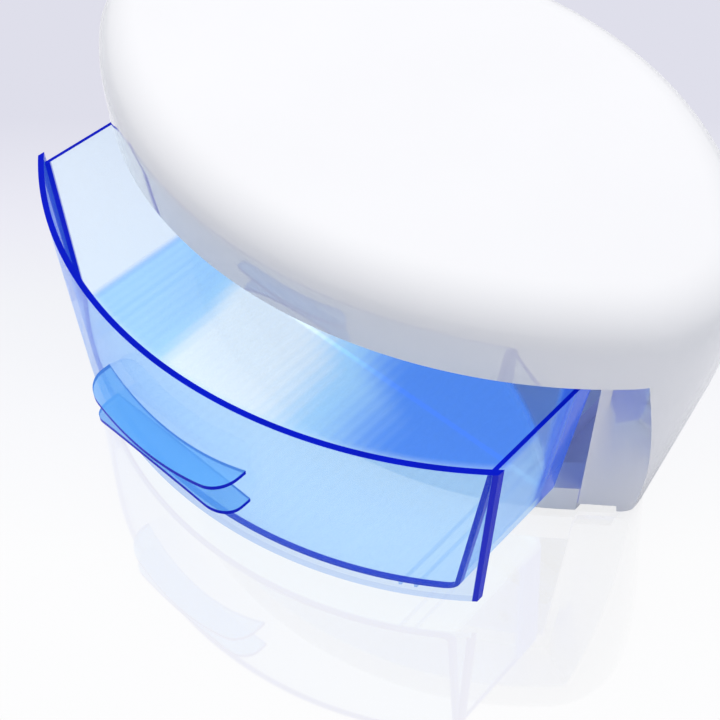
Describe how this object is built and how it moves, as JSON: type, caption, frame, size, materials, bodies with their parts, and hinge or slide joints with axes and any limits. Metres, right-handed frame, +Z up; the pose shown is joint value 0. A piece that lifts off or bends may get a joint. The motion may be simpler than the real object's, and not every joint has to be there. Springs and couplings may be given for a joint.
{
  "type": "uv sterilizer",
  "caption": "Oval white benchtop UV sterilizer whose clear blue drawer, with a pinch pull, slides out below an overhanging front band.",
  "frame": {"origin": "middle of the whole object's plan at table height, with the drawer standing open", "axes": "+X to the right seen from the front, +Y to the back, +Z up; the drawer opens towards -Y"},
  "size_m": [0.3694, 0.2985, 0.18],
  "materials": {
    "housing_white": "gloss",
    "base_white": "gloss",
    "foot_rubber": "matt",
    "screw_steel": "satin",
    "clear_blue": "clear gloss",
    "inner_white": "satin",
    "reflector_metal": "bright",
    "lamp_glass": "clear",
    "cap_metal": "satin",
    "holder_white": "satin",
    "ballast_paint": "satin",
    "starter_white": "satin",
    "terminal_white": "satin",
    "inlet_black": "satin",
    "pin_brass": "satin",
    "switch_black": "satin",
    "rocker_black": "gloss",
    "snap_black": "satin",
    "plunger_red": "satin"
  },
  "bodies": {
    "housing": {"top_housing": "housing_white", "base": "base_white", "foot_front_left": "foot_rubber", "foot_front_right": "foot_rubber", "foot_rear_left": "foot_rubber", "foot_rear_right": "foot_rubber", "base_screws": "screw_steel", "deck_screws": "screw_steel", "ballast_screws": "screw_steel", "lamp_deck": "inner_white", "reflector": "reflector_metal", "lamp_tube": "lamp_glass", "lamp_caps": "cap_metal", "lamp_holder_left": "holder_white", "lamp_holder_right": "holder_white", "ballast": "ballast_paint", "starter": "starter_white", "starter_socket": "holder_white", "terminal_block": "terminal_white", "mains_inlet": "inlet_black", "inlet_pins": "pin_brass", "switch_body": "switch_black", "interlock_switch": "snap_black"},
    "drawer": {"drawer_front": "clear_blue", "drawer_tray": "clear_blue"},
    "rocker": {"rocker": "rocker_black"},
    "plunger": {"interlock_plunger": "plunger_red"}
  },
  "joints": [
    {"name": "drawer_slide", "type": "slide", "parent": "housing", "child": "drawer", "axis": [0, -1, 0], "range_m": [-0.078, 0.019]},
    {"name": "rocker_hinge", "type": "hinge", "parent": "housing", "child": "rocker", "pos_m": [0.024, 0.14186, 0.1525], "axis": [1, 0, 0], "range_deg": [-18, 0]},
    {"name": "plunger_slide", "type": "slide", "parent": "housing", "child": "plunger", "axis": [0, 1, 0], "range_m": [0, 0.0015], "stiffness_N_per_m": 200, "springref_m": -0.002}
  ]
}
